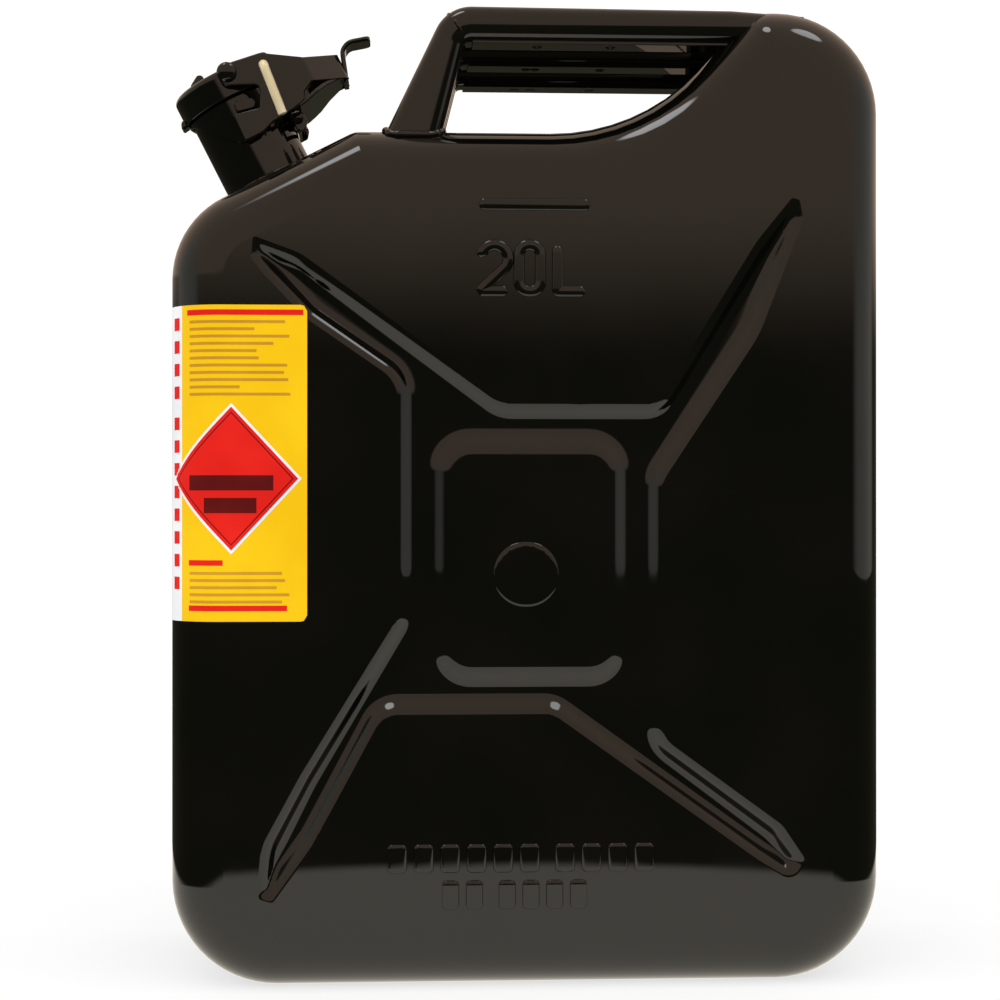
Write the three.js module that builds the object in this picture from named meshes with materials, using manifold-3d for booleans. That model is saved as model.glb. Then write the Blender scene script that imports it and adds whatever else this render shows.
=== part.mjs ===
// Safety gas can: a 20 litre fuel can pressed from steel sheet in two half shells, with three
// carrying handles and a tilted filler neck closed by a hinged lid and a cam lever.
// Millimetres, +Z up, the front face toward -Y, the filler neck toward -X.
// The origin is the bottom centre of the body.
import * as THREE from 'three';
import { mergeVertices } from 'three/addons/utils/BufferGeometryUtils.js';
import Module from 'manifold-3d';

const wasm = await Module();
wasm.setup();

// ---------------------------------------------------------------- driving dimensions
const GAP = 0.3; // clearance left between neighbouring pieces
const SHEET = 0.9; // wall of the pressed shells
const ARC_STEP = THREE.MathUtils.degToRad(22.5); // coarsest facet of a rounded corner

const BODY = {
  halfWidth: 172.5,
  halfDepth: 82.5,
  top: 414.3, // flat top under the handles
  hump: 474.3, // top of the air hump at the right
  shoulderX: -125.1, // a point of the sloping shoulder, on the neck axis
  shoulderZ: 393.5,
  footX: 53.6, // where the flat top and the hump slope would meet
  humpX: 111.6, // where the hump slope and the hump top would meet
  edge: 28, // rounding between the faces and the side wall
};
const TILT = THREE.MathUtils.degToRad(27); // shoulder slope and lean of the neck
const SEAM = { gap: 1.5, recess: 0.8, thick: 1.5 };

const PANEL = { z: 206.5, depth: 5.5, wall: 7.5 }; // pressed cross on the front and rear faces
const PAD = { halfWidth: 47.7, halfHeight: 60.6, corner: 22, wall: 8.3, rise: 5 };

const HANDLE = {
  spacing: 57,
  depth: 25,
  wall: 1.5,
  top: 475.2,
  underside: 457.5,
  foot: 403,
  corner: 19,
};

// Neck frame: u along the shoulder toward the handles, t up the neck axis.
const NECK = { x: -130.6, z: 404.2, radius: 22.9, wall: 1.5, rim: 41, shoulder: -12, root: -16 };
const NECK_ORIGIN = new THREE.Vector3(NECK.x, 0, NECK.z);
const AXIS_Y = new THREE.Vector3(0, 1, 0);
const HINGE = { u: 26, t: 13.5, pin: 1.7, barrel: 2.75, ear: 16.5, leaf: 2.5 };
const PIVOT = { u: 4.3, t: 47, pin: 2.2, head: 5 };
const LOCK = { u: 22.3, t: 42.2, radius: 2.3, lean: -2.6, leg: 27, armEnd: 20 };
const LID = { radius: 26, skirt: 36.5, top: 51, wall: 1.2, strap: 8.5 };
const CHEEK = { inner: 28, outer: 30.5 };
const TAIL = { start: 41, end: 59.4, halfWidth: 10.5 };

// ---------------------------------------------------------------- solids
function toSolid(geometry) {
  const bare = geometry.clone();
  bare.deleteAttribute('normal');
  bare.deleteAttribute('uv');
  const merged = mergeVertices(bare, 1e-4);
  const vertProperties = new Float32Array(merged.attributes.position.array);
  const triVerts = new Uint32Array(merged.index.array);
  return new wasm.Manifold(new wasm.Mesh({ numProp: 3, vertProperties, triVerts }));
}

function toGeometry(solid) {
  const mesh = solid.getMesh();
  const geometry = new THREE.BufferGeometry();
  geometry.setAttribute('position', new THREE.BufferAttribute(mesh.vertProperties, 3));
  geometry.setIndex(new THREE.BufferAttribute(mesh.triVerts, 1));
  geometry.computeVertexNormals();
  return geometry;
}

// Outline through corners [x, z, radius], counter-clockwise, moved inward by `inset`.
// Every corner keeps the same number of points whatever the inset, so outlines can be lofted.
function outline(corners, inset = 0) {
  const count = corners.length;
  const points = corners.map(([x, z]) => new THREE.Vector2(x, z));
  const heading = points.map((p, i) => points[(i + 1) % count].clone().sub(p).normalize());
  const bends = points.map((point, i) => {
    const before = heading[(i + count - 1) % count];
    const after = heading[i];
    const turn = Math.atan2(before.cross(after), before.dot(after));
    const tangent = Math.tan(Math.abs(turn) / 2);
    const bisector = new THREE.Vector2(-before.y - after.y, before.x + after.x).normalize();
    const vertex = point.clone().addScaledVector(bisector, inset / Math.cos(turn / 2));
    const radius = Math.max((corners[i][2] ?? 0) - Math.sign(turn) * inset, 0.1);
    return { before, turn, tangent, vertex, radius };
  });
  const fits = bends.map((bend, i) => {
    const next = bends[(i + 1) % count];
    const used = bend.radius * bend.tangent + next.radius * next.tangent;
    return Math.min(1, (0.96 * bend.vertex.distanceTo(next.vertex)) / used);
  });
  return bends.flatMap(({ before, turn, tangent, vertex, radius }, i) => {
    const fitted = radius * Math.min(fits[i], fits[(i + count - 1) % count]);
    const start = vertex.clone().addScaledVector(before, -fitted * tangent);
    const inward = new THREE.Vector2(-before.y, before.x).multiplyScalar(Math.sign(turn) * fitted);
    const centre = start.clone().add(inward);
    const steps = Math.max(2, Math.ceil(Math.abs(turn) / ARC_STEP));
    return Array.from({ length: steps + 1 }, (_, k) => start.clone().rotateAround(centre, (turn * k) / steps));
  });
}

// Skin over rings of equal length, given front to back as { path, y }.
function loft(rings) {
  const count = rings[0].path.length;
  const positions = rings.flatMap(({ path, y }) => path.flatMap((p) => [p.x, y, p.y]));
  const index = [];
  const last = (rings.length - 1) * count;
  for (const [a, b, c] of THREE.ShapeUtils.triangulateShape(rings[0].path, [])) index.push(a, b, c);
  for (const [a, b, c] of THREE.ShapeUtils.triangulateShape(rings.at(-1).path, [])) {
    index.push(last + a, last + c, last + b);
  }
  for (let ring = 0; ring < last; ring += count) {
    for (let i = 0; i < count; i += 1) {
      const next = (i + 1) % count;
      index.push(ring + i, ring + count + i, ring + count + next);
      index.push(ring + i, ring + count + next, ring + next);
    }
  }
  const geometry = new THREE.BufferGeometry();
  geometry.setAttribute('position', new THREE.Float32BufferAttribute(positions, 3));
  geometry.setIndex(index);
  return toSolid(geometry);
}

function slab(corners, yFront, yBack, inset = 0) {
  const path = outline(corners, inset);
  return loft([{ path, y: yFront }, { path, y: yBack }]);
}

function box(xRange, yRange, zRange) {
  const [x0, x1] = xRange;
  const [z0, z1] = zRange;
  return slab([[x0, z0], [x1, z0], [x1, z1], [x0, z1]], ...yRange);
}

// Turned about the neck axis, profile as [radius, t].
function turned(profile, segments = 36) {
  const points = profile.map(([r, t]) => new THREE.Vector2(r, t));
  return toSolid(new THREE.LatheGeometry(points, segments).rotateX(Math.PI / 2));
}

// Turned about an axis along Y through (u, t), profile as [radius, y].
function turnedAcross(profile, { u, t }, segments = 16) {
  const points = profile.map(([r, y]) => new THREE.Vector2(r, y));
  return toSolid(new THREE.LatheGeometry(points, segments).translate(u, 0, t));
}

function pinAcross(radius, yRange, centre, segments = 16) {
  const [y0, y1] = yRange;
  return turnedAcross([[0, y0], [radius, y0], [radius, y1], [0, y1]], centre, segments);
}

// Round bar or tube along a curve.
function swept(curve, radius, bore, steps) {
  const shape = new THREE.Shape().absarc(0, 0, radius, 0, 2 * Math.PI);
  if (bore > 0) shape.holes.push(new THREE.Path().absarc(0, 0, bore, 0, 2 * Math.PI, true));
  const options = { steps, extrudePath: curve, curveSegments: 4, bevelEnabled: false };
  return toSolid(new THREE.ExtrudeGeometry(shape, options));
}

function mirroredInY(geometry) {
  const copy = geometry.clone().scale(1, -1, 1);
  const index = copy.index.array;
  for (let i = 0; i < index.length; i += 3) [index[i], index[i + 1]] = [index[i + 1], index[i]];
  copy.computeVertexNormals();
  return copy;
}

function inNeckFrame(object) {
  object.position.set(NECK.x, 0, NECK.z);
  object.rotation.y = -TILT;
  object.updateMatrix();
  return object;
}

// ---------------------------------------------------------------- body shells
function bodyCorners() {
  const slope = Math.tan(TILT);
  const { halfWidth: w, top, hump, shoulderX, shoulderZ } = BODY;
  return [
    [-w, 0, 51],
    [w, 0, 51],
    [w, hump, 51],
    [BODY.humpX, hump, 20],
    [BODY.footX, top, 100],
    [shoulderX + (top - shoulderZ) / slope, top, 12],
    [-w, shoulderZ - (w + shoulderX) * slope, 45],
  ];
}

// Half of the body as a full solid, moved inward by `inset`, from the face back to yBack.
function halfBody(inset, yBack) {
  const radius = BODY.edge - inset;
  const rings = [];
  for (const degrees of [90, 67.5, 45, 22.5, 0]) {
    const angle = THREE.MathUtils.degToRad(degrees);
    rings.push({
      path: outline(bodyCorners(), inset + radius * (1 - Math.cos(angle))),
      y: -(BODY.halfDepth - BODY.edge) - radius * Math.sin(angle),
    });
  }
  rings.push({ path: outline(bodyCorners(), inset), y: yBack });
  return loft(rings);
}

// The cross is the same turned half round, so half of its outline is listed about its centre.
function crossCorners() {
  const half = [
    [-11, 70, 8], [66, 70, 8], [126, 167, 4], [131, 161, 4], [111, 112, 40],
    [58, 30, 10], [58, -85, 10], [120, -129, 15], [131.5, -146, 5], [127.5, -152.5, 5],
  ];
  const corners = [...half, ...half.map(([x, z, r]) => [-x, -z, r])];
  return corners.map(([x, z, r]) => [x, z + PANEL.z, r]).reverse();
}

function padCorners() {
  const { halfWidth: w, halfHeight: h, corner } = PAD;
  const z = PANEL.z;
  return [[-w, z - h, corner], [w, z - h, corner], [w, z + h, corner], [-w, z + h, corner]];
}

// Space pressed into the face by the cross, for a skin moved inward by `inset`.
function crossRecess(inset) {
  const slant = Math.hypot(1, PANEL.depth / PANEL.wall) * inset;
  const at = (depth) => ({
    path: outline(crossCorners(), PANEL.wall * ((depth - slant) / PANEL.depth - 0.5)),
    y: depth - BODY.halfDepth,
  });
  return loft([at(-2), at(PANEL.depth + inset)]);
}

// Raised rectangle in the middle of the cross.
function crossPad(inset) {
  const slant = Math.hypot(1, PAD.rise / PAD.wall) * inset;
  const at = (depth) => ({
    path: outline(padCorners(), PAD.wall * ((PANEL.depth + slant - depth) / PAD.rise)),
    y: depth - BODY.halfDepth,
  });
  return loft([at(PANEL.depth - PAD.rise + inset), at(PANEL.depth + 3)]);
}

function pressedHalf(inset, yBack) {
  return halfBody(inset, yBack).subtract(crossRecess(inset)).add(crossPad(inset));
}

function fillLevelBar() {
  const y = -BODY.halfDepth;
  return slab([[-24.6, 373.4, 2.8], [28.6, 373.4, 2.8], [28.6, 379.2, 2.8], [-24.6, 379.2, 2.8]], y - 1, y + 2);
}

function neckHole() {
  const bore = turned([[0, NECK.root - 5], [NECK.radius + GAP, NECK.root - 5], [NECK.radius + GAP, 10], [0, 10]]);
  return toSolid(toGeometry(bore).applyMatrix4(inNeckFrame(new THREE.Object3D()).matrix));
}

function frontShell() {
  const skin = pressedHalf(0, -SEAM.gap).add(fillLevelBar());
  return toGeometry(skin.subtract(pressedHalf(SHEET, 1)).subtract(neckHole()));
}

function rearShell() {
  const skin = pressedHalf(0, -SEAM.gap).add(fillLevelBar());
  return mirroredInY(toGeometry(skin.subtract(pressedHalf(SHEET, 1)).subtract(neckHole())));
}

function seamWeld() {
  const y = SEAM.gap - GAP;
  const outer = slab(bodyCorners(), -y, y, SEAM.recess);
  const inner = slab(bodyCorners(), -y - 1, y + 1, SEAM.recess + SEAM.thick);
  return toGeometry(outer.subtract(inner).subtract(neckHole()));
}

// ---------------------------------------------------------------- handles
function handleCorners(rightEnd) {
  const { top, underside, foot, corner } = HANDLE;
  return [
    [-74.1, foot],
    [-44.2, foot],
    [-30.5, underside, 3],
    [rightEnd, underside],
    [rightEnd, top - 3.2],
    [100, top - 0.8, 40],
    [-39.3, top, corner],
  ];
}

// The mitre between leg and bar runs from the inner corner to the rounded outer corner.
function mitreSide(side) {
  const inner = new THREE.Vector2(-30, HANDLE.underside);
  const along = new THREE.Vector2(-7.5, 12).normalize();
  const away = new THREE.Vector2(along.y, -along.x).multiplyScalar(side);
  const low = inner.clone().addScaledVector(along, -120).addScaledVector(away, GAP / 2);
  const high = inner.clone().addScaledVector(along, 60).addScaledVector(away, GAP / 2);
  const far = 300;
  const quad = [low, high, high.clone().addScaledVector(away, far), low.clone().addScaledVector(away, far)];
  const corners = quad.map((p) => [p.x, p.y]);
  return slab(side > 0 ? corners.reverse() : corners, -40, 40);
}

// Cuts a handle piece back to a gap from the shells; y is where the handle stands.
function clearOfShells(solid, y) {
  const front = toGeometry(halfBody(-GAP, 1));
  const shells = toSolid(front.clone().translate(0, -y, 0)).add(toSolid(mirroredInY(front).translate(0, -y, 0)));
  return toGeometry(solid.subtract(shells));
}

function handleBar(y, rightEnd) {
  const half = HANDLE.depth / 2;
  const { wall, underside } = HANDLE;
  const outer = slab(handleCorners(rightEnd), -half, half).intersect(mitreSide(1));
  const cavity = slab(handleCorners(rightEnd + 20), -half + wall, half - wall, wall);
  const mouth = box([-60, rightEnd + 30], [-half + wall, half - wall], [underside - 5, underside + 6]);
  return clearOfShells(outer.subtract(cavity).subtract(mouth), y);
}

function handleLeg(y, rightEnd) {
  const half = HANDLE.depth / 2;
  const { wall } = HANDLE;
  const outer = slab(handleCorners(rightEnd), -half, half).intersect(mitreSide(-1));
  const cavity = slab(handleCorners(rightEnd), -half + wall, half - wall, wall);
  const throat = box([-90, -30], [-half + wall, half - wall], [HANDLE.foot - 1, HANDLE.foot + wall + 0.1]);
  return clearOfShells(outer.subtract(cavity).subtract(throat), y);
}

function handleStrip(y, rightEnd) {
  const half = HANDLE.depth / 2 - HANDLE.wall - GAP;
  const { underside, wall } = HANDLE;
  return clearOfShells(box([-27, rightEnd], [-half, half], [underside + 0.2, underside + 0.2 + wall]), y);
}

// ---------------------------------------------------------------- neck (neck frame)
function fillerNeck() {
  const { radius: r, wall, rim, root } = NECK;
  const bore = r - wall;
  return turned([
    [bore, root], [r, root], [r, rim - 3], [r + 0.9, rim - 2], [r + 0.9, rim - 0.5],
    [r + 0.4, rim], [bore, rim], [bore, root],
  ]);
}

function neckBaseFlange() {
  const inner = NECK.radius + GAP;
  const low = NECK.shoulder + GAP;
  return turned([[inner, low], [28, low], [27, low + 1.8], [inner, low + 4.5], [inner, low]]);
}

// Band round the neck under the lid, with a rounded tongue down the near and far sides.
function neckCollar() {
  const inner = NECK.radius + GAP;
  const outer = inner + 1.4;
  const top = LID.skirt - 0.7;
  const edge = top - 1.8;
  const band = turned([[inner, 11], [outer, 11], [outer, top], [inner, top], [inner, 11]]);
  const side = slab([
    [-5, 12.5, 6], [5, 12.5, 6], [19, 28.5, 4], [24, edge], [27, edge],
    [27, top], [-27, top], [-27, edge], [-24, edge], [-19, 28.5, 4],
  ], -30, 30);
  return band.intersect(side);
}

// Stud plate on the collar that the lever's hook passes under.
function neckLug(side) {
  const corners = [[-0.5, 27.6, 1.5], [9, 25.6, 1.5], [10.5, 28, 1], [9.5, 31, 1.5], [0.5, 33, 1.5]];
  const near = NECK.radius + 2 * GAP + 1.4;
  const far = CHEEK.inner - GAP;
  return side < 0 ? slab(corners, -far, -near) : slab(corners, near, far);
}

function hingeBracket() {
  const back = NECK.radius + 0.4;
  const { u, t, pin, ear: width, leaf } = HINGE;
  const low = t - 7;
  const ear = [[back, low, 0.5], [u + 1.5, low, 2], [u + 3.5, t - 4, 3], [u + 3.5, t + 3, 3], [back, t + 3, 1]];
  const plate = box([back, back + 1.5], [-width, width], [low, t - 5]);
  const ears = slab(ear, -width, -width + leaf).add(slab(ear, width - leaf, width));
  return plate.add(ears).subtract(pinAcross(pin + GAP, [-width - 5, width + 5], HINGE));
}

function hingePin() {
  const { pin, ear } = HINGE;
  const seat = ear + GAP;
  const head = [[0, 2.8], [2.2, 2.4], [3.2, 1.2], [3.2, 0], [pin, 0]];
  return turnedAcross([
    ...head.map(([r, h]) => [r, -seat - h]),
    ...head.map(([r, h]) => [r, seat + h]).reverse(),
  ], HINGE);
}

// Vent pipe from the neck to the air space in the hump (body frame).
function breatherTube() {
  const inNeck = (u, t) => new THREE.Vector3(u, 0, t).applyAxisAngle(AXIS_Y, -TILT).add(NECK_ORIGIN);
  const curve = new THREE.CatmullRomCurve3([
    inNeck(13, 34),
    inNeck(13, -8),
    inNeck(14.5, -22),
    new THREE.Vector3(-88, 0, 381),
    new THREE.Vector3(-50, 0, 386),
    new THREE.Vector3(10, 0, 395),
    new THREE.Vector3(70, 0, 415),
    new THREE.Vector3(118, 0, 455),
  ]);
  return swept(curve, 4, 3, 18);
}

// ---------------------------------------------------------------- lid (neck frame)
function rivetHole() {
  return turned([[0, 40], [1.8, 40], [1.8, 60], [0, 60]], 12);
}

function lidCap() {
  const { radius: r, skirt, top, wall } = LID;
  const cup = turned([
    [0, top - wall], [r - wall - 1.5, top - wall], [r - wall, top - wall - 1.5], [r - wall, skirt],
    [r, skirt], [r, top - 2], [r - 2, top], [0, top],
  ]);
  const claw = box([-r - 2.5, -r + 1], [-6, 6], [skirt - 0.8, skirt + 1.8]);
  const bore = turned([[0, 20], [r - wall, 20], [r - wall, skirt + 3], [0, skirt + 3]]);
  const pivotHole = pinAcross(PIVOT.pin + GAP, [-40, 40], PIVOT);
  return cup.add(claw.subtract(bore)).subtract(rivetHole()).subtract(pivotHole);
}

// Strap folded over the lid, down to the hinge barrel, with an upturned stop at its far end.
function lidBridge() {
  const width = LID.strap;
  const out = LID.radius + GAP;
  const over = LID.top + GAP;
  const thick = 1.5;
  const strap = slab([
    [out, HINGE.t], [out + thick, HINGE.t], [out + thick, over + thick, 2.5],
    [-15.4, over + thick], [-15.4, over], [out, over, 1],
  ], -width, width);
  const barrel = pinAcross(HINGE.barrel, [-width, width], HINGE);
  const stop = slab([[-15, over], [-6.5, over], [-6.8, 56.6, 1.5], [-9, 57.8, 1.5], [-14.6, 54.4, 1.5]], -4, 4);
  const pinHole = pinAcross(HINGE.pin + GAP, [-width - 5, width + 5], HINGE);
  return strap.add(barrel).add(stop).subtract(pinHole).subtract(rivetHole());
}

function lidGasket() {
  const low = NECK.rim + GAP;
  return turned([[14, low], [23.6, low], [23.6, low + 2], [14, low + 2], [14, low]]);
}

function sealingDisc() {
  const low = NECK.rim + 2 * GAP + 2;
  return turned([[1.8, low], [23, low], [23, low + 0.7], [1.8, low + 0.7], [1.8, low]]);
}

function gasketRivet() {
  const underDisc = NECK.rim + GAP + 2;
  const overStrap = LID.top + 2 * GAP + 1.5;
  return turned([
    [0, underDisc - 1.2], [4, underDisc - 0.9], [4, underDisc], [1.5, underDisc],
    [1.5, overStrap], [4, overStrap], [3.2, overStrap + 1.2], [0, overStrap + 1.5],
  ], 16);
}

function leverPivotPin() {
  const { pin, head } = PIVOT;
  const seat = CHEEK.outer + GAP;
  const dome = [[0, 3.6], [2.6, 3.1], [4.3, 1.9], [head, 0.5], [head, 0], [pin, 0]];
  const near = dome.map(([r, h]) => [r, -seat - h]);
  const far = dome.map(([r, h]) => [r, seat + h]).reverse();
  return turnedAcross([...near, ...far], PIVOT);
}

// ---------------------------------------------------------------- cam lever (neck frame)
// Flat cheek beside the lid: pivot end, slot for the neck lug, and the hook that passes under it.
function cheekCorners() {
  return [
    [-3.1, 11.8, 1.5], [7.8, 12.5, 3], [14, 14.7, 4], [25.2, 15.8, 6], [32.5, 17.2, 2], [34.5, 21, 4], [TAIL.start, 24.4],
    [TAIL.start, 37.5], [23.3, 48.6, 3], [9.5, 50.6, 4], [-0.5, 52.3, 5], [-0.7, 41.8, 5],
    [7, 38.6, 2], [15.4, 34.6, 2], [14.5, 30.4, 2], [11, 24, 1.5], [-2.6, 26.9, 1],
  ];
}

// Prism upright along the neck axis, from an outline in (u, y).
function column(corners, low, high) {
  const turnedOver = corners.map(([u, y, r]) => [u, -y, r]).reverse();
  return toSolid(toGeometry(slab(turnedOver, low, high)).rotateX(Math.PI / 2));
}

// Beyond the lid the cheeks bend inward to the width of the thumb tab.
function leverTail() {
  const { start, end, halfWidth } = TAIL;
  const sheet = CHEEK.outer - CHEEK.inner;
  const within = (out) => [
    [start, -CHEEK.outer + out], [end, -halfWidth + out], [end, halfWidth - out], [start, CHEEK.outer - out],
  ];
  const solid = column(within(0), 10, 45);
  const hollow = column(within(sheet).map(([u, y]) => [u + (u === end ? 1 : -1), y]), 5, 50);
  const sides = slab([[start, 24.4], [55.2, 21], [59.2, 34.2], [start, 37.5]], -40, 40);
  const floor = slab([
    [start, 18.4], [47, 20.8, 4], [56, 22.2], [56, 24], [46.4, 22.8, 4], [start, 20.4],
  ], -40, 40);
  return solid.subtract(hollow).intersect(sides).add(solid.intersect(floor));
}

function camLever() {
  const { inner, outer } = CHEEK;
  const cheeks = slab(cheekCorners(), -outer, -inner).add(slab(cheekCorners(), inner, outer));
  const floor = slab([
    [30.5, 15.9], [33.5, 16.4, 10], [TAIL.start, 18.4], [TAIL.start, 20.4], [33.2, 18.4, 10], [30.5, 17.9],
  ], -outer, outer);
  const pivotHole = pinAcross(PIVOT.pin + GAP, [-40, 40], PIVOT);
  const lockHole = pinAcross(LOCK.radius + GAP, [-40, 0], LOCK);
  return cheeks.add(floor).add(leverTail()).subtract(pivotHole).subtract(lockHole);
}

function thumbTab() {
  return slab([
    [55.8, 19.8], [58.1, 19.5, 1], [63.6, 34.3, 3], [67.2, 36.3, 5], [77.6, 33.3, 1],
    [78.2, 35.8, 1], [66.3, 38.9, 5], [60.8, 36, 4],
  ], -TAIL.halfWidth, TAIL.halfWidth);
}

// Bent wire lock: a short arm through the near cheek and a leg hanging beside it.
function lockingPin() {
  const { u, t, radius, lean, leg } = LOCK;
  const y = -(CHEEK.outer + 2 * radius + GAP);
  const bend = 4;
  const path = new THREE.CurvePath();
  const armEnd = new THREE.Vector3(u, -LOCK.armEnd, t);
  const bendStart = new THREE.Vector3(u, y + bend, t);
  const bendEnd = new THREE.Vector3(u + (lean * bend) / leg, y, t - bend);
  path.add(new THREE.LineCurve3(armEnd, bendStart));
  path.add(new THREE.QuadraticBezierCurve3(bendStart, new THREE.Vector3(u, y, t), bendEnd));
  path.add(new THREE.LineCurve3(bendEnd, new THREE.Vector3(u + lean, y, t - leg)));
  return swept(path, radius, 0, 18);
}

// ---------------------------------------------------------------- label (body frame)
// Thin film laid over the left of the front face and round the rounded edge.
function wrapLabel() {
  const film = halfBody(-0.5, -40).subtract(halfBody(-0.3, -30));
  const patch = slab([[-180, 177], [-106.5, 177, 6], [-106.5, 328, 6], [-180, 328]], -90, -52);
  return toGeometry(film.intersect(patch));
}

// ---------------------------------------------------------------- assembly
const FINISH = {
  enamel: { color: 0x0b0b0c, roughness: 0.18, metalness: 0.0 },
  weld: { color: 0x121213, roughness: 0.4, metalness: 0.1 },
  zinc: { color: 0xb98a3c, roughness: 0.35, metalness: 0.9 },
  steel: { color: 0x9a9a98, roughness: 0.35, metalness: 0.9 },
  rubber: { color: 0x1c1c1c, roughness: 0.85, metalness: 0.0 },
  film: { color: 0xf2c516, roughness: 0.5, metalness: 0.0 },
};

function addPiece(group, name, geometry, finish) {
  const mesh = new THREE.Mesh(geometry, new THREE.MeshStandardMaterial(FINISH[finish]));
  mesh.name = name;
  group.add(mesh);
}

function addHandle(can, name, y, rightEnd) {
  const handle = new THREE.Group();
  handle.position.y = y;
  addPiece(handle, `${name}_handle_bar`, handleBar(y, rightEnd), 'enamel');
  addPiece(handle, `${name}_handle_leg`, handleLeg(y, rightEnd), 'enamel');
  addPiece(handle, `${name}_handle_strip`, handleStrip(y, rightEnd), 'enamel');
  can.add(handle);
}

const can = new THREE.Group();
can.name = 'safety_gas_can';

addPiece(can, 'front_shell', frontShell(), 'enamel');
addPiece(can, 'rear_shell', rearShell(), 'enamel');
addPiece(can, 'seam_weld', seamWeld(), 'weld');
addPiece(can, 'breather_tube', toGeometry(breatherTube()), 'steel');
addPiece(can, 'wrap_label', wrapLabel(), 'film');

addHandle(can, 'front', -HANDLE.spacing, 136);
addHandle(can, 'middle', 0, 108);
addHandle(can, 'rear', HANDLE.spacing, 136);

const closure = inNeckFrame(new THREE.Group());
for (const [name, solid, finish] of [
  ['filler_neck', fillerNeck(), 'enamel'],
  ['neck_base_flange', neckBaseFlange(), 'weld'],
  ['neck_collar', neckCollar(), 'enamel'],
  ['front_neck_lug', neckLug(-1), 'enamel'],
  ['rear_neck_lug', neckLug(1), 'enamel'],
  ['hinge_bracket', hingeBracket(), 'enamel'],
  ['hinge_pin', hingePin(), 'enamel'],
  ['lid_cap', lidCap(), 'enamel'],
  ['lid_bridge', lidBridge(), 'enamel'],
  ['lid_gasket', lidGasket(), 'rubber'],
  ['sealing_disc', sealingDisc(), 'steel'],
  ['gasket_rivet', gasketRivet(), 'enamel'],
  ['lever_pivot_pin', leverPivotPin(), 'enamel'],
  ['cam_lever', camLever(), 'enamel'],
  ['thumb_tab', thumbTab(), 'enamel'],
  ['locking_pin', lockingPin(), 'zinc'],
]) {
  addPiece(closure, name, toGeometry(solid), finish);
}
can.add(closure);

export default can;
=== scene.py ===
"""Looks of the safety gas can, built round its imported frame.

Lengths are in millimetres while a mesh is drawn, and become metres in Skin.finish.
Body frame: origin at the bottom centre, front face toward -Y, filler neck toward -X, +Z up.
Neck frame: u along the sloping shoulder toward the handles, y as in the body, t up the neck axis.
"""

import math

import bmesh
import bpy
import numpy
from mathutils import Matrix, Vector, geometry, noise


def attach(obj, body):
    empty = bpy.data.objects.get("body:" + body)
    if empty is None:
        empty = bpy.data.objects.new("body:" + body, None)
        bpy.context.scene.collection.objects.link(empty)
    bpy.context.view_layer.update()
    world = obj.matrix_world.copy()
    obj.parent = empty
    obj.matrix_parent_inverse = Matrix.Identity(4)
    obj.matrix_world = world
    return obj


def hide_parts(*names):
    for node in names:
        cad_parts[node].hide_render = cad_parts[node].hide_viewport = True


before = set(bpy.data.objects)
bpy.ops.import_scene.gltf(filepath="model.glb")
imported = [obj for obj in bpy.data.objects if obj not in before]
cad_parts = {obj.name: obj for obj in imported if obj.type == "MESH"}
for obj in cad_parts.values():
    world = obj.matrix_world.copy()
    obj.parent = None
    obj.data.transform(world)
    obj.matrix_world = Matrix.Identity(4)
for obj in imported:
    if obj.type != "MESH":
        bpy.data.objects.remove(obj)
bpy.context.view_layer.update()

# ---------------------------------------------------------------- dimensions
MM = 0.001
ARC_STEP = math.radians(6)  # facet of a rounded corner
SHARP_CORNER = 0.1  # radius of a corner that is not rounded
SHARP_ANGLE = math.radians(38)  # edges that bend more than this stay crisp
SHEET = 0.9  # wall of the pressed shells
EMBED = 0.4  # how far a raised detail or weld reaches into its base

BODY = {
    "half_width": 172.5,
    "half_depth": 82.5,
    "top": 414.3,
    "hump": 474.3,
    "shoulder": (-125.1, 393.5),
    "foot_x": 53.6,
    "hump_x": 111.6,
    "edge": 26.0,
}
FACE = -BODY["half_depth"]
TILT = math.radians(27)
SEAM_GAP = 1.5

PANEL = {"z": 206.5, "depth": 5.5, "wall": 8.8}
PAD = {"half_width": 47.7, "half_height": 60.6, "corner": 22.0, "wall": 10.9, "foot": 1.3, "rise": 5.0}
CROSS_BROW = [
    (-129.5, -161, 3), (-123, -163, 3), (-103, -135, 60), (-70, -73.8, 12), (10.5, -73.8, 12),
    (110, -145, 30), (126, -154.5, 7), (133, -146, 5), (121.5, -128.5, 15), (63.8, -86, 14),
    (63.8, 38, 14), (110, 108, 60), (131.5, 164, 8), (129.8, 172.5, 2), (126.5, 173.5, 2),
    (109.5, 152.5, 60), (62, 75.2, 12), (-13.5, 75.2, 16), (-110, 145.5, 30), (-132, 153.5, 2),
    (-133, 144, 4), (-127, 136.5, 10), (-107, 115.5, 20), (-63.8, 85.7, 14), (-63.8, -27, 14),
    (-110, -103, 60), (-128.5, -138, 30),
]
FLANK_BEND = 0.3  # share of a pressed wall's width that is rounded at its brow, and again at its foot
NET = 0.9  # spacing of the points on a pressed wall
FLAT_RIM = 0.6  # flat strip that keeps the shading of a bend off the flat face beside it
LEVEL_BAR = {"x": (-24.6, 28.6), "z": (373.4, 379.2), "height": 1.0}

HANDLE = {"spacing": 57.0, "depth": 25.0, "edge": 7.0, "top": 475.2, "underside": 457.5, "foot": 403.0}
MITRE = {"inner": (-30.0, 457.5), "along": (-7.5, 12.0), "bead": 1.1}
STRIP = {"half_width": 8.2, "start": -27.0, "proud": 0.7}

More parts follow.
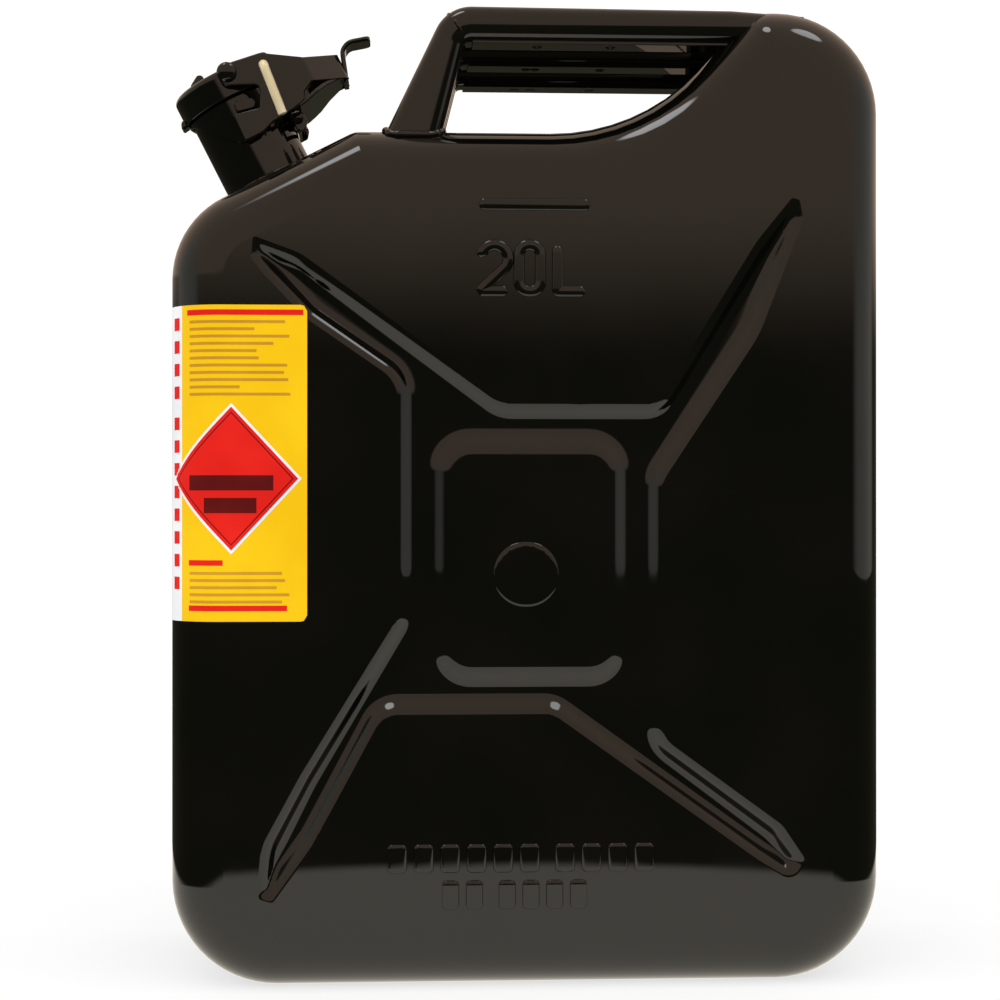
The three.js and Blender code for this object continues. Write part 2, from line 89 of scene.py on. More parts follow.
NECK = {"x": -130.6, "z": 404.2, "radius": 22.9, "wall": 1.5, "rim": 41.0, "shoulder": -12.0, "root": -16.0}
TO_NECK = Matrix.Translation((NECK["x"], 0, NECK["z"])) @ Matrix.Rotation(-TILT, 4, "Y")
HINGE = {"u": 26.0, "t": 13.5, "pin": 1.7, "barrel": 2.75, "ear": 16.5, "leaf": 2.5}
PIVOT = {"u": 4.3, "t": 47.0, "pin": 2.2, "head": 5.0}
LOCK = {"u": 22.3, "t": 42.2, "radius": 2.3, "lean": -2.6, "leg": 27.0, "arm_end": 20.0, "bend": 4.0}
LID = {"radius": 26.0, "skirt": 36.5, "top": 51.0, "wall": 1.2, "strap": 8.5}
CHEEK = {"inner": 28.0, "outer": 30.5}
TAIL = {"start": 41.0, "end": 59.4, "half_width": 10.5}
GAP = 0.3  # clearance between neighbouring pieces

LABEL = {"right": -106.5, "z": (177.0, 327.7), "gap": 0.12, "film": 0.12, "ink": 0.04}
LABEL_YELLOW = 62.5  # width of the yellow panel, measured along the wrapped film
LABEL_WIDTH = 84.5  # yellow panel and white strip together


# ---------------------------------------------------------------- outlines
def rounded(corners, inset=0.0, closed=True):
    """Points round corners (a, b, radius), counter-clockwise, moved inward by inset.

    The number of points depends only on the corners, so two insets can be joined ring to ring.
    """
    count = len(corners)
    points = [Vector(corner[:2]) for corner in corners]
    heading = [(points[(i + 1) % count] - point).normalized() for i, point in enumerate(points)]
    bends = []
    for i, point in enumerate(points):
        before, after = heading[i - 1], heading[i]
        turn = math.atan2(before.x * after.y - before.y * after.x, before.dot(after))
        if not closed and i in (0, count - 1):
            turn = 0.0
        bisector = Vector((-before.y - after.y, before.x + after.x)).normalized()
        vertex = point + bisector * (inset / math.cos(turn / 2)) if inset else point
        radius = corners[i][2] if len(corners[i]) > 2 else 0.0
        radius = max(radius - math.copysign(inset, turn), SHARP_CORNER)
        bends.append((before, turn, vertex, radius, radius * math.tan(abs(turn) / 2)))
    fits = []
    for i, bend in enumerate(bends):
        following = bends[(i + 1) % count]
        used = bend[4] + following[4]
        fits.append(min(1.0, 0.96 * (bend[2] - following[2]).length / used) if used else 1.0)
    path = []
    for i, (before, turn, vertex, radius, _) in enumerate(bends):
        if abs(turn) < 1e-9:
            path.append(vertex.copy())
            continue
        fitted = radius * min(fits[i], fits[i - 1])
        start = vertex - before * (fitted * math.tan(abs(turn) / 2))
        centre = start + Vector((-before.y, before.x)) * math.copysign(fitted, turn)
        steps = max(2, math.ceil(abs(turn) / ARC_STEP))
        for k in range(steps + 1):
            path.append(centre + Matrix.Rotation(turn * k / steps, 2) @ (start - centre))
    return path


def circle(centre, radius, count=36):
    angles = [2 * math.pi * k / count for k in range(count)]
    return [Vector((centre[0] + radius * math.cos(a), centre[1] + radius * math.sin(a))) for a in angles]


def at_depth(path, y):
    """The points (x, z) of an outline as places in space at depth y."""
    return [Vector((p.x, y, p.y)) for p in path]


def body_corners():
    w, top, hump = BODY["half_width"], BODY["top"], BODY["hump"]
    shoulder_x, shoulder_z = BODY["shoulder"]
    slope = math.tan(TILT)
    return [
        (-w, 0, 51),
        (w, 0, 51),
        (w, hump, 51),
        (BODY["hump_x"], hump, 20),
        (BODY["foot_x"], top, 100),
        (shoulder_x + (top - shoulder_z) / slope, top, 12),
        (-w, shoulder_z - (w + shoulder_x) * slope, 45),
    ]


def cross_corners():
    return [(x, z + PANEL["z"], r) for x, z, r in CROSS_BROW]


def rectangle(x_range, z_range, corner=0.0):
    x0, x1 = x_range
    z0, z1 = z_range
    return [(x0, z0, corner), (x1, z0, corner), (x1, z1, corner), (x0, z1, corner)]


def pad_corners():
    w, h, z = PAD["half_width"], PAD["half_height"], PANEL["z"]
    return rectangle((-w, w), (z - h, z + h), PAD["corner"])


def handle_corners(right_end):
    top, underside = HANDLE["top"], HANDLE["underside"]
    return [
        (-74.1, HANDLE["foot"]),
        (-44.2, HANDLE["foot"]),
        (-30.5, underside, 3),
        (right_end, underside),
        (right_end, top - 3.2),
        (100, top - 0.8, 40),
        (-39.3, top, 19),
    ]


# ---------------------------------------------------------------- mesh building
class Skin:
    """Collects the faces of one piece; place puts its drawing frame into the body frame."""

    def __init__(self, place=None):
        self.bm = bmesh.new()
        self.place = place or Matrix.Identity(4)

    def ring(self, points):
        return [self.bm.verts.new(self.place @ Vector(p)) for p in points]

    def face(self, verts, material=0):
        distinct = list(dict.fromkeys(verts))
        if len(distinct) > 2:
            self.bm.faces.new(distinct).material_index = material

    def strip(self, ring, following, closed=True, material=0):
        count = len(ring)
        for i in range(count if closed else count - 1):
            j = (i + 1) % count
            self.face([ring[i], ring[j], following[j], following[i]], material)

    def plate(self, *rings, material=0):
        """Flat face between the first ring and the others, which are holes."""
        verts = [v for ring in rings for v in ring]
        upright = geometry.normal([v.co for v in rings[0]]).to_track_quat("Z", "Y").inverted()
        points = [(upright @ v.co).to_2d() for v in verts]
        loops, start = [], 0
        for ring in rings:
            loops.append(list(range(start, start + len(ring))))
            start += len(ring)
        with_holes = 2
        filled = geometry.delaunay_2d_cdt(points, [], loops, with_holes, 1e-6)
        triangles, origins = filled[2], filled[3]
        for triangle in triangles:
            self.face([verts[origins[i][0]] for i in triangle], material)

    def loft(self, rings, capped=True, material=0):
        made = [self.ring(points) for points in rings]
        for ring, following in zip(made, made[1:]):
            self.strip(ring, following, material=material)
        if capped:
            self.plate(made[0], material=material)
            self.plate(made[-1], material=material)
        return made

    def slab(self, corners, y_range, edge=0.6, holes=()):
        """Plate standing across Y with rounded edges; holes are (x, z, radius)."""
        y0, y1 = y_range
        angles = [math.radians(degrees) for degrees in (0, 22.5, 45, 67.5, 90)]
        front = [(edge * (1 - math.sin(a)), y0 + edge * (1 - math.cos(a))) for a in angles]
        back = [(inset, y0 + y1 - y) for inset, y in reversed(front)]
        made = self.loft([at_depth(rounded(corners, inset), y) for inset, y in front + back], capped=False)
        bores = [
            [self.ring(at_depth(circle(hole[:2], hole[2]), y)) for y in (y0, y1)] for hole in holes
        ]
        self.plate(made[0], *[bore[0] for bore in bores])
        self.plate(made[-1], *[bore[1] for bore in bores])
        for near, far in bores:
            self.strip(near, far)

    def lathe(self, profile, closed=True, segments=72):
        """Turned about the drawing frame's Z axis, profile as (radius, height)."""
        rings = []
        for radius, height in profile:
            if radius < 1e-6:
                rings.append(self.ring([(0, 0, height)]) * segments)
            else:
                rings.append(self.ring([(p.x, p.y, height) for p in circle((0, 0), radius, segments)]))
        following = rings[1:] + (rings[:1] if closed else [])
        for ring, other in zip(rings, following):
            self.strip(ring, other)

    def sweep(self, path, radii, sides=16, closed=False):
        """Round bar along a path, with its own radius at every point."""
        rings = []
        across = None
        count = len(path)
        for i, point in enumerate(path):
            after = path[(i + 1) % count] if closed else path[min(i + 1, count - 1)]
            along = (after - path[i - 1 if closed else max(i - 1, 0)]).normalized()
            across = across or along.orthogonal().normalized()
            across = (across - along * across.dot(along)).normalized()
            other = along.cross(across)
            rings.append([
                point + (across * p.x + other * p.y) * radii[i] for p in circle((0, 0), 1.0, sides)
            ])
        made = self.loft(rings, capped=not closed)
        if closed:
            self.strip(made[-1], made[0])

    def to_mesh(self, name):
        bmesh.ops.recalc_face_normals(self.bm, faces=self.bm.faces)
        mesh = bpy.data.meshes.new(name)
        self.bm.to_mesh(mesh)
        self.bm.free()
        return mesh

    def cut_by(self, tool):
        """Takes the shape of another skin out of this one."""
        objects = []
        for name, skin in (("blank", self), ("tool", tool)):
            made = bpy.data.objects.new(name, skin.to_mesh(name))
            bpy.context.scene.collection.objects.link(made)
            objects.append(made)
        blank, tool = objects
        cut = blank.modifiers.new("cut", "BOOLEAN")
        cut.operation, cut.solver, cut.object = "DIFFERENCE", "EXACT", tool
        evaluated = blank.evaluated_get(bpy.context.evaluated_depsgraph_get())
        self.bm = bmesh.new()
        self.bm.from_mesh(evaluated.data)
        for made in objects:
            bpy.data.objects.remove(made)

    def finish(self, name, body, slot, materials, stands_for):
        """Turns the faces into a shaded object that rides on a body and stands for CAD nodes."""
        piece = bpy.data.objects.new(name, self.to_mesh(name))
        piece.data.transform(Matrix.Scale(MM, 4))
        bpy.context.scene.collection.objects.link(piece)
        for material in materials:
            piece.data.materials.append(material)
        shade(piece.data)
        normals = piece.modifiers.new("normals", "WEIGHTED_NORMAL")
        normals.keep_sharp = True
        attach(piece, body)
        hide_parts(*stands_for)
        return piece


def shade(mesh):
    """Smooth faces, with the edges that bend sharply kept crisp."""
    bm = bmesh.new()
    bm.from_mesh(mesh)
    for face in bm.faces:
        face.smooth = True
    for edge in bm.edges:
        edge.smooth = edge.calc_face_angle(0.0) < SHARP_ANGLE
    bm.to_mesh(mesh)
    bm.free()


def across(u, t):
    """Drawing frame whose Z axis runs along Y through (u, t) of the neck frame."""
    return TO_NECK @ Matrix.Translation((u, 0, t)) @ Matrix.Rotation(math.radians(-90), 4, "X")


def bead_radii(count, radius, ripple, seed):
    """Radii of a weld bead: even ripples with a little unevenness."""
    return [
        radius * (1 + 0.1 * math.sin(i * ripple) + 0.16 * noise.noise((i * 0.31, seed, 0)))
        for i in range(count)
    ]


def resample(path, spacing, closed=False):
    """Points at even spacing along a polyline."""
    points = list(path) + ([path[0]] if closed else [])
    spans = [(b - a).length for a, b in zip(points, points[1:])]
    total = sum(spans)
    count = max(2, round(total / spacing))
    made = []
    for k in range(count if closed else count + 1):
        left = total * k / count
        i = 0
        while i < len(spans) - 1 and left > spans[i]:
            left -= spans[i]
            i += 1
        made.append(points[i].lerp(points[i + 1], min(1.0, left / max(spans[i], 1e-9))))
    return made


# ---------------------------------------------------------------- body
def flank(share):
    """Height of a pressed wall across its width: straight in the middle, rounded at both ends."""
    share = numpy.clip(share, 0.0, 1.0)
    to_end = numpy.minimum(share, 1.0 - share)
    rounded_end = to_end ** 2 / (2 * FLANK_BEND)
    rise = numpy.where(to_end < FLANK_BEND, rounded_end, to_end - FLANK_BEND / 2) / (1 - FLANK_BEND)
    return numpy.where(share < 0.5, rise, 1.0 - rise)


def distance_inside(points, outline):
    """Distance of points from a closed outline, negative outside it."""
    nearest = numpy.full(len(points), numpy.inf)
    inside = numpy.zeros(len(points), bool)
    for start, end in zip(outline, outline[1:] + outline[:1]):
        along = numpy.array(end - start)
        offset = points - numpy.array(start)
        share = numpy.clip(offset @ along / (along @ along), 0.0, 1.0)
        nearest = numpy.minimum(nearest, numpy.linalg.norm(offset - share[:, None] * along, axis=1))
        spanned = (points[:, 1] < start.y) != (points[:, 1] < end.y)
        if spanned.any():
            to_the_left = offset[:, 0] * along[1] < offset[:, 1] * along[0]
            inside ^= spanned & to_the_left ^ (spanned & (along[1] < 0))
    return numpy.where(inside, nearest, -nearest)


def softened(field):
    """Heights on a square net with their sharp creases rounded."""
    for _ in range(4):
        wide = numpy.pad(field, 1, mode="edge")
        beside = wide[:-2, 1:-1] + wide[2:, 1:-1] + wide[1:-1, :-2] + wide[1:-1, 2:]
        field = (4 * field + beside) / 8
    return field


def pressed_net():
    """Points on the pressed walls with their depth, and the triangles that span brow and points."""
    outline = rounded(cross_corners())
    spans = [[p[axis] for p in outline] for axis in (0, 1)]
    rows = [numpy.arange(min(span), max(span), NET) for span in spans]
    net = numpy.stack(numpy.meshgrid(*rows), axis=-1).reshape(-1, 2)
    into_cross = distance_inside(net, outline)
    into_pad = distance_inside(net, rounded(pad_corners(), -PAD["foot"]))
    flat_rows = 4 * NET
    on_cross_wall = (into_cross > NET / 2) & (into_cross < PANEL["wall"] + flat_rows)
    on_pad_wall = (into_pad > -flat_rows) & (into_pad < PAD["wall"] + flat_rows)
    kept = on_cross_wall | on_pad_wall
    sunk = PANEL["depth"] * flank(into_cross / PANEL["wall"]) - PAD["rise"] * flank(into_pad / PAD["wall"])
    sunk = softened(sunk.reshape(len(rows[1]), -1)).ravel()
    flat = outline + [Vector(point) for point in net[kept]]
    filled = geometry.delaunay_2d_cdt(flat, [], [list(range(len(outline)))], 1, 1e-6)
    triangles = [[filled[3][i][0] for i in triangle] for triangle in filled[2]]
    return [(x, FACE + y, z) for (x, z), y in zip(net[kept], sunk[kept])], triangles


def shell_surface(skin, wall, pressing):
    """One side of the front half's sheet: seam lip, rounded edge and face.

    wall is 0 for the outside, which is pressed, and the sheet's thickness for the plain lining behind
    it. Returns the rim at the seam.
    """
    lip, radius = 1.2, BODY["edge"] - wall
    if wall:
        seam_lip = [(lip + wall, -SEAM_GAP), (lip + wall, -SEAM_GAP - wall), (wall, -SEAM_GAP - 2 * lip)]
    else:
        angles = [math.radians(degrees) for degrees in (0, 30, 60)]
        seam_lip = [(lip * (1 - math.sin(a)), -SEAM_GAP - lip * (1 - math.cos(a))) for a in angles]
    behind = PANEL["depth"] + wall if wall else 0.0
    rings = [at_depth(rounded(body_corners(), inset), y) for inset, y in seam_lip]
    for k in range(16):
        a = math.radians(6 * k)
        path = rounded(body_corners(), wall + radius * (1 - math.cos(a)))
        rings.append(at_depth(path, FACE + behind + (BODY["edge"] - behind) * (1 - math.sin(a))))
    rings.append(at_depth(rounded(body_corners(), wall + radius + FLAT_RIM), FACE + behind))
    skirt = skin.loft(rings, capped=False)
    if wall:
        skin.plate(skirt[-1])
    else:
        outsets = (-FLAT_RIM, 0.0)
        rim, brow = [skin.ring(at_depth(rounded(cross_corners(), outset), FACE)) for outset in outsets]
        skin.plate(skirt[-1], rim)
        skin.strip(rim, brow)
        points, triangles = pressing
        verts = brow + skin.ring(points)
        for triangle in triangles:
            skin.face([verts[i] for i in triangle])
    return skirt[0]


def boss(skin, corners, height, soft, base=FACE):
    """Raised detail on the face with a rounded shoulder."""
    rings = [at_depth(rounded(corners), base + EMBED)]
    for degrees in (0, 30, 60, 90):
        a = math.radians(degrees)
        rings.append(at_depth(rounded(corners, soft * (1 - math.cos(a))), base - height * math.sin(a)))
    skin.loft(rings)


def ridge(skin, path, width, height, closed=False):
    """Raised rounded line pressed into the face along a path of (x, z)."""
    path = resample(path, 0.7, closed)
    count = len(path)
    rings = []
    for i, point in enumerate(path):
        after = path[(i + 1) % count] if closed else path[min(i + 1, count - 1)]
        along = (after - path[i - 1 if closed else max(i - 1, 0)]).normalized()
        side = Vector((-along.y, along.x))
        to_end = min(i, count - 1 - i) * 0.7
        taper = 1.0 if closed else math.sqrt(max(0.0, 1 - max(0.0, 1 - to_end / (width / 2)) ** 2)) or 0.12
        ring = [(-width / 2 * taper, EMBED), (width / 2 * taper, EMBED)]
        for k in range(9):
            a = math.pi * k / 8
            ring.append((width / 2 * taper * math.cos(a), -height * taper * math.sin(a)))
        rings.append([Vector((point.x + side.x * s, FACE + y, point.y + side.y * s)) for s, y in ring])
    made = skin.loft(rings, capped=not closed)
    if closed:
        skin.strip(made[-1], made[0])


def capacity_mark(skin):
    """Plain stroke numerals under the level bar, giving the volume."""
    low, high, width, height = 334.8, 356.8, 5.4, 1.4
    middle, radius = -17.2, 6.6
    turns = [math.radians(degrees) for degrees in range(175, -36, -10)]
    hook = [
        Vector((middle + radius * math.cos(a), high - radius + radius * math.sin(a)))
        for a in turns
    ]
    ridge(skin, hook + [Vector((-23.9, low)), Vector((-10.8, low))], width, height)
    ridge(skin, rounded(rectangle((-5.4, 4.8), (low, high), 4.6)), width, height, closed=True)
    ridge(skin, [Vector((13.0, high)), Vector((13.0, low)), Vector((26.4, low))], width, height)


def blank_row(skin, x_range, z_range, words):
    """Raised blanks standing in a row, in groups like words, where the real can is stamped."""
    x0, x1 = x_range
    gap, space = 3.2, 7.5
    letters = sum(words)
    width = (x1 - x0 - gap * (letters - len(words)) - space * (len(words) - 1)) / letters
    x = x0
    for count in words:
        for _ in range(count):
            boss(skin, rectangle((x, x + width), z_range, 2.4), 1.1, 1.7)
            x += width + gap
        x += space - gap


def front_details(skin):
    boss(skin, rectangle(LEVEL_BAR["x"], LEVEL_BAR["z"], 2.8), LEVEL_BAR["height"], 2.0)
    capacity_mark(skin)
    pad_face = FACE + PANEL["depth"] - PAD["rise"]
    badge = rectangle((-17.5, 13.5), (183.8, 214.8), 15.4)
    boss(skin, badge, 0.7, 2.2, pad_face)
    blank_row(skin, (-68.5, 59.4), (56.8, 70.6), (6, 4))
    blank_row(skin, (-42.3, 27.1), (39.4, 53.2), (2, 4))


def rear_details(skin):
    boss(skin, rectangle(LEVEL_BAR["x"], LEVEL_BAR["z"], 2.8), LEVEL_BAR["height"], 2.0)


def shell(name, side, pressing, details, material, node):
    mirror = Matrix.Scale(-1, 4, (0, 1, 0)) if side > 0 else Matrix.Identity(4)
    skin = Skin(mirror)
    skin.strip(shell_surface(skin, 0.0, pressing), shell_surface(skin, SHEET, pressing))
    hole = Skin(TO_NECK)
    low, radius = NECK["root"] - 6, NECK["radius"] + GAP
    hole.lathe([(0, low), (radius, low), (radius, 10), (0, 10)], closed=False)
    skin.cut_by(hole)
    details(skin)
    return skin.finish(name, "can", "enamel", [material], [node])


def seam(material):
    """Weld bead in the groove between the halves, with the ripples of a roller weld."""
    skin = Skin()
    path = resample([Vector((p.x, 0, p.y)) for p in rounded(body_corners(), 1.3)], 2.2, closed=True)
    skin.sweep(path, [1.35 + 0.08 * math.sin(i * 1.9) for i in range(len(path))], 12, closed=True)
    return skin.finish("seam_bead", "can", "weld", [material], ["seam_weld"])


# ---------------------------------------------------------------- handles
def mitre_cut(skin, side):
    """Keeps one side of the plane through the mitre between bar and leg."""
    inner, along = MITRE["inner"], Vector(MITRE["along"]).normalized()
    away = Vector((along.y, 0, -along.x)) * side
    bm = skin.bm
    cut = bmesh.ops.bisect_plane(
        bm, geom=bm.verts[:] + bm.edges[:] + bm.faces[:],
        plane_co=(inner[0], 0, inner[1]), plane_no=-away, clear_outer=True,
    )
    rim = [item for item in cut["geom_cut"] if isinstance(item, bmesh.types.BMEdge)]
    bmesh.ops.edgeloop_fill(bm, edges=rim)


def handle_half(y, right_end, side):
    skin = Skin(Matrix.Translation((0, y, 0)))
    half = HANDLE["depth"] / 2
    skin.slab(handle_corners(right_end), (-half, half), HANDLE["edge"])
    mitre_cut(skin, side)
    return skin


def mitre_bead(skin):
    """Fine weld line round the section where leg and bar meet."""
    inner, along = MITRE["inner"], Vector(MITRE["along"]).normalized()
    length, half = 16.6, HANDLE["depth"] / 2
    sunk = MITRE["bead"] - 0.35
    section = rounded(rectangle((sunk, length - sunk), (-half + sunk, half - sunk), HANDLE["edge"]))
    ring = [Vector((inner[0] + along.x * p.x, p.y, inner[1] + along.y * p.x)) for p in section]
    path = resample(ring, 0.9, closed=True)
    skin.sweep(path, bead_radii(len(path), MITRE["bead"], 2.2, 3.0), 10, closed=True)


def top_of_body(y):
    """Height of the flat top at depth y, which falls away over the rounded edge."""
    over = max(0.0, abs(y) - (BODY["half_depth"] - BODY["edge"]))
    return BODY["top"] - BODY["edge"] + math.sqrt(BODY["edge"] ** 2 - over ** 2)


def foot_bead(skin, y):
    """Lumpy fillet weld round the foot of a leg; x follows the leaning sides of the leg."""
    half = HANDLE["depth"] / 2
    path = []
    for p in rounded(rectangle((-68.6, -41.4), (-half, half), HANDLE["edge"])):
        z = top_of_body(y + p.y)
        lean = 0.36 * (z - BODY["top"])
        path.append(Vector((p.x + lean, p.y, z + 0.5)))
    path = resample(path, 1.3, closed=True)
    skin.sweep(path, bead_radii(len(path), 2.0, 1.7, 0.7 + y), 12, closed=True)


def spot_welds(skin, places):
    """Small craters under a handle strip."""
    z = HANDLE["underside"] - STRIP["proud"]
    for x in places:
        frame_here = skin.place
        skin.place = frame_here @ Matrix.Translation((x, 0, z))
        skin.lathe([(p.x, p.y) for p in circle((2.1, 0.15), 0.55, 10)], segments=24)
        skin.lathe([(0, -0.35), (0.7, -0.2), (1.1, 0.3)], closed=False, segments=24)
        skin.place = frame_here


def handle(name, y, right_end, welds, enamel):
    place = Matrix.Translation((0, y, 0))
    bar = handle_half(y, right_end, 1)
    mitre_bead(bar)
    bar.finish(f"{name}_bar", "can", "enamel", [enamel], [f"{name}_handle_bar"])
    leg = handle_half(y, right_end, -1)
    foot_bead(leg, y)
    leg.finish(f"{name}_leg", "can", "enamel", [enamel], [f"{name}_handle_leg"])
    strip = Skin(place)
    under = HANDLE["underside"]
    flat = rectangle((STRIP["start"], right_end - 4), (under - STRIP["proud"], under + 1.0), 0.4)
    strip.slab(flat, (-STRIP["half_width"], STRIP["half_width"]), 0.4)
    spot_welds(strip, welds)
    strip.finish(f"{name}_strip", "can", "enamel", [enamel], [f"{name}_handle_strip"])


# ---------------------------------------------------------------- neck
def filler_neck(enamel, weld):
    r, rim, root = NECK["radius"], NECK["rim"], NECK["root"]
    bore = r - NECK["wall"]
    tube = Skin(TO_NECK)
    profile = [
        (bore, root), (r, root), (r, rim - 3.2, 1.5),
        (r + 0.9, rim - 2.2, 0.8), (r + 0.9, rim, 0.9), (bore, rim, 0.6),
    ]
    tube.lathe([(p.x, p.y) for p in rounded(profile)])
    tube.finish("neck_tube", "can", "enamel", [enamel], ["filler_neck"])

    flange = Skin(TO_NECK)
    low = NECK["shoulder"]
    section = [
        (r + GAP, low - 0.4), (28.3, low - 0.4), (27.6, low + 2.6, 1.4),
        (24.8, low + 4.2, 1.6), (r + GAP, low + 6.2),
    ]
    flange.lathe([(p.x, p.y) for p in rounded(section)])
    ring = resample([Vector((p.x, p.y, low + 0.4)) for p in circle((0, 0), 28.0, 90)], 1.7, closed=True)
    flange.sweep(ring, bead_radii(len(ring), 1.7, 1.5, 9.0), 12, closed=True)
    flange.finish("neck_weld", "can", "weld", [weld], ["neck_base_flange"])


def neck_collar(enamel):
    """Band round the neck; its lower edge dips in a rounded tongue down the near and far sides."""
    inner, thick, soft = NECK["radius"] + GAP, 1.5, 0.6
    outer, top = inner + thick, LID["skirt"] - 0.7
    tongue = [(0, 12.5), (5, 12.5, 6), (19, 28.5, 4), (24, top - 1.8, 2), (30, top - 1.8)]
    edge = rounded(tongue, closed=False)

    def lower(u):
        for a, b in zip(edge, edge[1:]):
            if a.x <= u <= b.x:
                return a.y + (b.y - a.y) * (u - a.x) / (b.x - a.x)
        return edge[-1].y

    skin = Skin(TO_NECK)
    rings = []
    for p in circle((0, 0), 1.0, 180):
        low = lower(abs(p.x) * outer)
        section = [
            (inner, low), (outer - soft, low), (outer, low + soft),
            (outer, top - soft), (outer - soft, top), (inner, top),
        ]
        rings.append([Vector((p.x * radius, p.y * radius, t)) for radius, t in section])
    made = skin.loft(rings, capped=False)
    skin.strip(made[-1], made[0])
    skin.finish("collar", "can", "enamel", [enamel], ["neck_collar"])


def neck_lug(name, side, enamel):
    skin = Skin(TO_NECK)
    near, far = NECK["radius"] + 2 * GAP + 1.2, CHEEK["inner"] - GAP
    corners = [(-0.5, 27.6, 1.5), (9, 25.6, 1.5), (10.5, 28, 1), (9.5, 31, 1.5), (0.5, 33, 1.5)]
    skin.slab(corners, (near, far) if side > 0 else (-far, -near), 0.6)
    skin.finish(f"{name}_lug", "can", "enamel", [enamel], [f"{name}_neck_lug"])


def hinge(enamel):
    back, u, t, width = NECK["radius"] + 0.4, HINGE["u"], HINGE["t"], HINGE["ear"]
    bracket = Skin(TO_NECK)
    low = t - 7
    ear = [
        (back, low, 0.5), (u + 1.5, low, 2), (u + 4, t - 3.6, 3),
        (u + 4, t + 3.6, 4), (back, t + 3.6, 1),
    ]
    hole = (u, t, HINGE["pin"] + 0.15)
    for y_range in ((-width, -width + HINGE["leaf"]), (width - HINGE["leaf"], width)):
        bracket.slab(ear, y_range, 0.5, [hole])
    bracket.slab(rectangle((back, back + 1.6), (low, t - 5), 0.3), (-width, width), 0.3)
    bracket.finish("hinge_ears", "can", "enamel", [enamel], ["hinge_bracket"])

    pin = Skin(across(u, t))
    seat = width + GAP
    head = [(HINGE["pin"], 0.0), (3.2, 0.0, 0.2), (3.2, 1.6, 1.2), (0, 2.8, 1.0)]
    right = [(p.x, seat + p.y) for p in rounded(head, closed=False)]
    left = [(r, -h) for r, h in reversed(right)]
    pin.lathe([(0, left[0][1])] + left[1:] + right[:-1] + [(0, right[-1][1])], closed=False, segments=32)
    pin.finish("hinge_rivet", "can", "enamel", [enamel], ["hinge_pin"])


# ---------------------------------------------------------------- lid
def on_axis(profile):
    """Rounded lathe profile whose ends lie exactly on the axis."""
    return [(p.x if p.x > 1e-3 else 0, p.y) for p in rounded(profile, closed=False)]


def lid(enamel):
    r, skirt, top, wall = LID["radius"], LID["skirt"], LID["top"], LID["wall"]
    cap = Skin(TO_NECK)
    profile = [
        (0, top - wall), (r - wall, top - wall, 2.2), (r - wall, skirt, 0.5), (r, skirt, 0.5),
        (r, top, 3.4), (16.0, top, 2.0), (14.5, top - 0.9, 1.5), (0, top - 0.9),
    ]
    cap.lathe(on_axis(profile), closed=False, segments=96)
    claw = [
        (-r - 3.0, skirt - 1.2, 1.0), (-r + 1.2, skirt - 0.6, 0.4),
        (-r + 1.2, skirt + 3.5, 0.5), (-r - 1.2, skirt + 3.2, 2.0),
    ]
    cap.slab(claw, (-6, 6), 1.0)
    cap.finish("lid_cup", "lid", "enamel", [enamel], ["lid_cap"])

    strap = Skin(TO_NECK)
    width, out, over, thick = LID["strap"], r + GAP, top + GAP, 1.5
    fold = [
        (out, HINGE["t"]), (out + thick, HINGE["t"]), (out + thick, over + thick, 3.2),
        (-15.4, over + thick, 0.5), (-15.4, over, 0.5), (out, over, 1.7),
    ]
    strap.slab(fold, (-width, width), 0.4)
    stop = [(-15, over), (-6.5, over), (-6.8, 56.6, 1.8), (-9, 57.8, 1.8), (-14.6, 54.4, 1.8)]
    strap.slab(stop, (-4, 4), 0.9)
    strap.place = across(HINGE["u"], HINGE["t"])
    bore = HINGE["pin"] + 0.15
    barrel = [(bore, -width), (HINGE["barrel"], -width, 0.4), (HINGE["barrel"], width, 0.4), (bore, width)]
    strap.lathe([(p.x, p.y) for p in rounded(barrel)], segments=40)
    strap.finish("lid_strap", "lid", "enamel", [enamel], ["lid_bridge"])


def lid_fittings(enamel, rubber, steel):
    low = NECK["rim"] + GAP
    gasket = Skin(TO_NECK)
    ring = [(14, low, 0.7), (23.8, low, 0.9), (23.8, low + 2, 0.9), (14, low + 2, 0.7)]
    gasket.lathe([(p.x, p.y) for p in rounded(ring)])
    gasket.finish("gasket_ring", "lid", "gasket_rubber", [rubber], ["lid_gasket"])

    disc = Skin(TO_NECK)
    base = low + GAP + 2
    plate = [(1.8, base), (23, base, 0.3), (23, base + 0.7, 0.3), (1.8, base + 0.7)]
    disc.lathe([(p.x, p.y) for p in rounded(plate)])
    disc.finish("pressure_disc", "lid", "bare_steel", [steel], ["sealing_disc"])

    rivet = Skin(TO_NECK)
    over = LID["top"] + 2 * GAP + 1.5
    profile = [
        (0, low + 0.6), (3.6, low + 0.9, 0.6), (4, low + 2, 0.4), (1.5, low + 2, 0.2),
        (1.5, over, 0.2), (4, over, 0.4), (3.4, over + 1.1, 1.0), (0, over + 1.5),
    ]
    rivet.lathe(on_axis(profile), closed=False, segments=36)
    rivet.finish("disc_rivet", "lid", "enamel", [enamel], ["gasket_rivet"])


